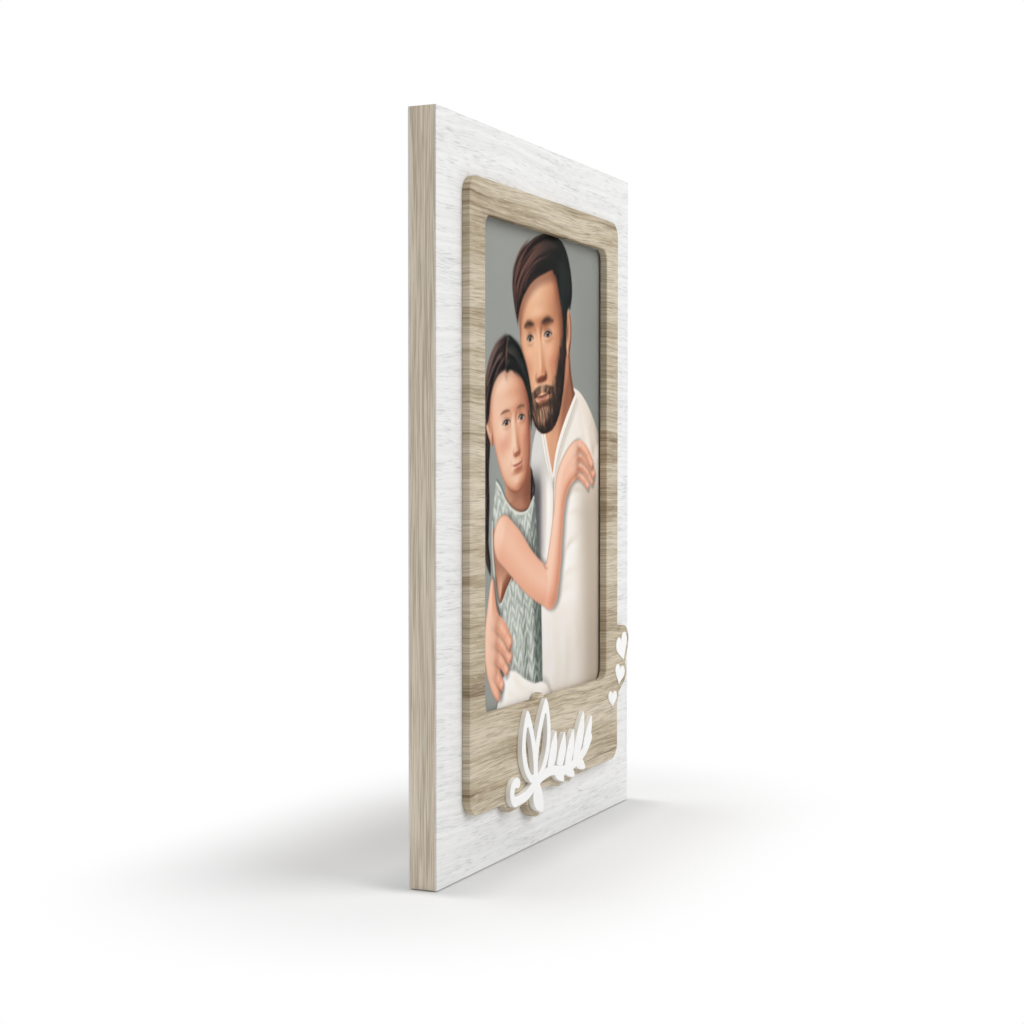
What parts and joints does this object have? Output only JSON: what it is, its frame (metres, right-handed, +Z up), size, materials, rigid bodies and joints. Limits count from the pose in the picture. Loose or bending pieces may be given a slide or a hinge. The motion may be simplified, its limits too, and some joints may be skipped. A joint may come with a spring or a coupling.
{
  "type": "tabletop photo frame",
  "caption": "Upright wooden photo frame: white wood-grain board, oak contour layer round a portrait photo, white leaf sprig and hearts, easel back with turn buttons.",
  "frame": {"origin": "middle of the face that the board stands on, halfway through the board's thickness", "axes": "+X to the right seen from the front, +Y to the back, +Z up; the front faces -Y"},
  "size_m": [0.155, 0.0184, 0.225],
  "materials": {
    "white_grain": "white wood-grain foil with fine grey pores, satin",
    "white_foil": "plain white foil, matt",
    "board_core": "raw fibreboard",
    "oak_face": "pale oak decor, grain across, matt",
    "oak_edge": "pale oak edge band, grain along the edge, matt",
    "white_paint": "white, satin",
    "clear_pane": "clear, non-reflecting",
    "photo_paper": "satin photo print",
    "grey_board": "raw grey board",
    "hardboard": "smooth brown hardboard",
    "zinc": "zinc-plated steel, satin"
  },
  "bodies": {
    "frame": {"board_core": "board_core", "front_skin": "white_grain", "rear_skin": "white_foil", "edge_band_left": "oak_edge", "edge_band_right": "oak_edge", "edge_band_top": "oak_edge", "edge_band_bottom": "oak_edge", "oak_layer": "oak_face", "leaf_sprig": "white_paint", "heart_large": "white_paint", "heart_middle": "white_paint", "heart_small": "white_paint", "clear_pane": "clear_pane", "photo_print": "photo_paper", "filler_board": "grey_board", "back_panel": "hardboard", "hinge_leaf_panel": "zinc", "hinge_pin": "zinc", "panel_rivet_1": "zinc", "panel_rivet_2": "zinc", "button_screw_upper_left": "zinc", "button_screw_upper_right": "zinc", "button_screw_lower_left": "zinc", "button_screw_lower_right": "zinc"},
    "leg": {"easel_leg": "hardboard", "hinge_leaf_leg": "zinc", "leg_rivet_1": "zinc", "leg_rivet_2": "zinc"},
    "button_upper_left": {"turn_button_upper_left": "zinc"},
    "button_upper_right": {"turn_button_upper_right": "zinc"},
    "button_lower_left": {"turn_button_lower_left": "zinc"},
    "button_lower_right": {"turn_button_lower_right": "zinc"}
  },
  "joints": [
    {"name": "leg_hinge", "type": "hinge", "parent": "frame", "child": "leg", "pos_m": [0, 0.0068, 0.15], "axis": [1, 0, 0], "range_deg": [0, 28]},
    {"name": "turn_upper_left", "type": "hinge", "parent": "frame", "child": "button_upper_left", "pos_m": [-0.0627, 0.0055, 0.1654], "axis": [0, 1, 0], "continuous": true},
    {"name": "turn_upper_right", "type": "hinge", "parent": "frame", "child": "button_upper_right", "pos_m": [0.0627, 0.0055, 0.1654], "axis": [0, 1, 0], "continuous": true},
    {"name": "turn_lower_left", "type": "hinge", "parent": "frame", "child": "button_lower_left", "pos_m": [-0.0627, 0.0055, 0.0794], "axis": [0, 1, 0], "continuous": true},
    {"name": "turn_lower_right", "type": "hinge", "parent": "frame", "child": "button_lower_right", "pos_m": [0.0627, 0.0055, 0.0794], "axis": [0, 1, 0], "continuous": true}
  ]
}
